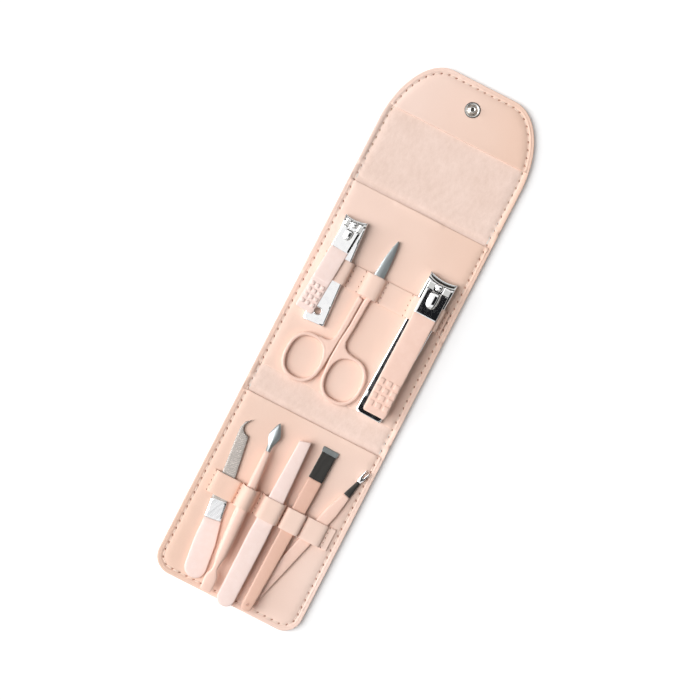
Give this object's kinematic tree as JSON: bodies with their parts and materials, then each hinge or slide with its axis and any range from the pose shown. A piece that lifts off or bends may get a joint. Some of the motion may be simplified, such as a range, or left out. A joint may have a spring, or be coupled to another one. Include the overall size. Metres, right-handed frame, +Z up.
{
  "type": "manicure set case",
  "caption": "Fold-out leatherette manicure case lying open, with nail clippers, scissors, tweezers and slim steel tools held in stitched loops, and a snap flap.",
  "frame": {"origin": "middle of the underside of the open case, on the surface it lies on", "axes": "+Y along the open case towards the flap, +X to the right seen from above with the flap away from the viewer, +Z up"},
  "size_m": [0.084, 0.305, 0.0123],
  "materials": {
    "leatherette": "fine grain, satin",
    "suede": "matte suede",
    "board": "plain card",
    "padding": "thin felt",
    "chrome": "polished",
    "satin_steel": "satin",
    "pink_coat": "soft satin coat"
  },
  "bodies": {
    "middle_panel": {"middle_cover": "leatherette", "middle_board": "board", "middle_lining": "suede", "middle_facing": "leatherette", "upper_loop_band": "leatherette"},
    "lower_spine": {"lower_spine_cover": "leatherette", "lower_spine_padding": "padding", "lower_spine_lining": "suede"},
    "lower_panel": {"lower_cover": "leatherette", "lower_board": "board", "lower_lining": "suede", "lower_facing": "leatherette", "lower_loop_band": "leatherette", "snap_socket": "chrome", "snap_eyelet": "chrome"},
    "upper_spine": {"upper_spine_cover": "leatherette", "upper_spine_padding": "padding", "upper_spine_lining": "suede"},
    "flap": {"flap_cover": "leatherette", "flap_board": "board", "flap_lining": "suede", "flap_facing": "leatherette", "snap_stud": "chrome", "snap_cap": "chrome"},
    "small_clipper": {"small_clipper_lower_arm": "chrome", "small_clipper_eyelet": "chrome"},
    "small_upper_arm": {"small_clipper_upper_arm": "chrome"},
    "small_post": {"small_clipper_post": "chrome"},
    "small_lever": {"small_clipper_lever": "chrome", "small_clipper_grip": "pink_coat"},
    "large_clipper": {"large_clipper_lower_arm": "chrome", "large_clipper_rivet": "chrome"},
    "large_upper_arm": {"large_clipper_upper_arm": "chrome"},
    "large_post": {"large_clipper_post": "chrome"},
    "large_lever": {"large_clipper_lever": "chrome", "large_clipper_grip": "pink_coat"},
    "scissors": {"scissors_right_half": "pink_coat", "scissors_screw": "chrome"},
    "scissors_left": {"scissors_left_half": "pink_coat"},
    "hook_file": {"hook_file_blade": "satin_steel", "hook_file_handle": "pink_coat"},
    "pusher": {"pusher_head": "chrome", "pusher_handle": "pink_coat"},
    "tweezers": {"tweezers_lower_arm": "pink_coat"},
    "tweezers_upper": {"tweezers_upper_arm": "pink_coat"},
    "scraper": {"scraper_blade": "satin_steel", "scraper_handle": "pink_coat"},
    "fork": {"fork_prongs": "satin_steel", "fork_handle": "pink_coat"}
  },
  "joints": [
    {"name": "lower_fold", "type": "hinge", "parent": "middle_panel", "child": "lower_spine", "pos_m": [0, -0.0322, 0.0027], "axis": [1, 0, 0], "range_deg": [-90, 0]},
    {"name": "lower_panel_fold", "type": "hinge", "parent": "lower_spine", "child": "lower_panel", "pos_m": [0, -0.0458, 0.0027], "axis": [1, 0, 0], "range_deg": [-90, 0]},
    {"name": "flap_fold", "type": "hinge", "parent": "middle_panel", "child": "upper_spine", "pos_m": [0, 0.078, 0.0027], "axis": [-1, 0, 0], "range_deg": [-90, 0]},
    {"name": "flap_turn", "type": "hinge", "parent": "upper_spine", "child": "flap", "pos_m": [0, 0.0957, 0.0027], "axis": [-1, 0, 0], "range_deg": [-90, 0]},
    {"name": "small_clipper_slide", "type": "slide", "parent": "middle_panel", "child": "small_clipper", "axis": [-0.068, 0.9977, 0], "range_m": [0, 0.037]},
    {"name": "small_jaw_flex", "type": "hinge", "parent": "small_clipper", "child": "small_upper_arm", "pos_m": [-0.02468, 0.01088, 0.0046], "axis": [-0.9977, -0.068, 0], "range_deg": [0, 1.6], "stiffness_Nm_per_rad": 1.5},
    {"name": "small_lever_swing", "type": "hinge", "parent": "small_clipper", "child": "small_post", "pos_m": [-0.02776, 0.05607, 0.0034], "axis": [0, 0, -1], "range_deg": [-7.9, 172]},
    {"name": "small_lever_flip", "type": "hinge", "parent": "small_post", "child": "small_lever", "pos_m": [-0.02776, 0.05607, 0.0093], "axis": [-0.9975, 0.0705, 0], "range_deg": [0, 155]},
    {"name": "large_clipper_slide", "type": "slide", "parent": "middle_panel", "child": "large_clipper", "axis": [0.0361, 0.9993, 0], "range_m": [0, 0.058]},
    {"name": "large_jaw_flex", "type": "hinge", "parent": "large_clipper", "child": "large_upper_arm", "pos_m": [0.02436, -0.02001, 0.0048], "axis": [-0.9993, 0.0361, 0], "range_deg": [0, 1.1], "stiffness_Nm_per_rad": 3},
    {"name": "large_lever_swing", "type": "hinge", "parent": "large_clipper", "child": "large_post", "pos_m": [0.02678, 0.04695, 0.0034], "axis": [0, 0, 1], "range_deg": [-1.5, 178.5]},
    {"name": "large_lever_flip", "type": "hinge", "parent": "large_post", "child": "large_lever", "pos_m": [0.02678, 0.04695, 0.0104], "axis": [-1, 0.0094, 0], "range_deg": [0, 155]},
    {"name": "scissors_slide", "type": "slide", "parent": "middle_panel", "child": "scissors", "axis": [-0.0431, -0.9991, 0], "range_m": [0, 0.021]},
    {"name": "scissors_open", "type": "hinge", "parent": "scissors", "child": "scissors_left", "pos_m": [-0.0043, 0.031, 0.0034], "axis": [0, 0, -1], "range_deg": [0, 6]},
    {"name": "hook_file_slide", "type": "slide", "parent": "lower_panel", "child": "hook_file", "axis": [0.1236, -0.9923, 0], "range_m": [0, 0.044]},
    {"name": "pusher_slide", "type": "slide", "parent": "lower_panel", "child": "pusher", "axis": [0.0488, -0.9985, 0.0227], "range_m": [0, 0.046]},
    {"name": "tweezers_slide", "type": "slide", "parent": "lower_panel", "child": "tweezers", "axis": [0, -1, 0], "range_m": [0, 0.046]},
    {"name": "tweezers_squeeze", "type": "hinge", "parent": "tweezers", "child": "tweezers_upper", "pos_m": [0.0011, -0.1495, 0.0066], "axis": [-1, 0, 0], "range_deg": [0, 1.6], "stiffness_Nm_per_rad": 1.5},
    {"name": "scraper_slide", "type": "slide", "parent": "lower_panel", "child": "scraper", "axis": [-0.0262, -0.9991, 0.0332], "range_m": [0, 0.046]},
    {"name": "fork_slide", "type": "slide", "parent": "lower_panel", "child": "fork", "axis": [0.2672, 0.9636, 0], "range_m": [0, 0.046]}
  ],
  "couplings": [
    {"joint": "lower_panel_fold", "follows": "lower_fold", "ratio": 1},
    {"joint": "flap_turn", "follows": "flap_fold", "ratio": 1}
  ]
}
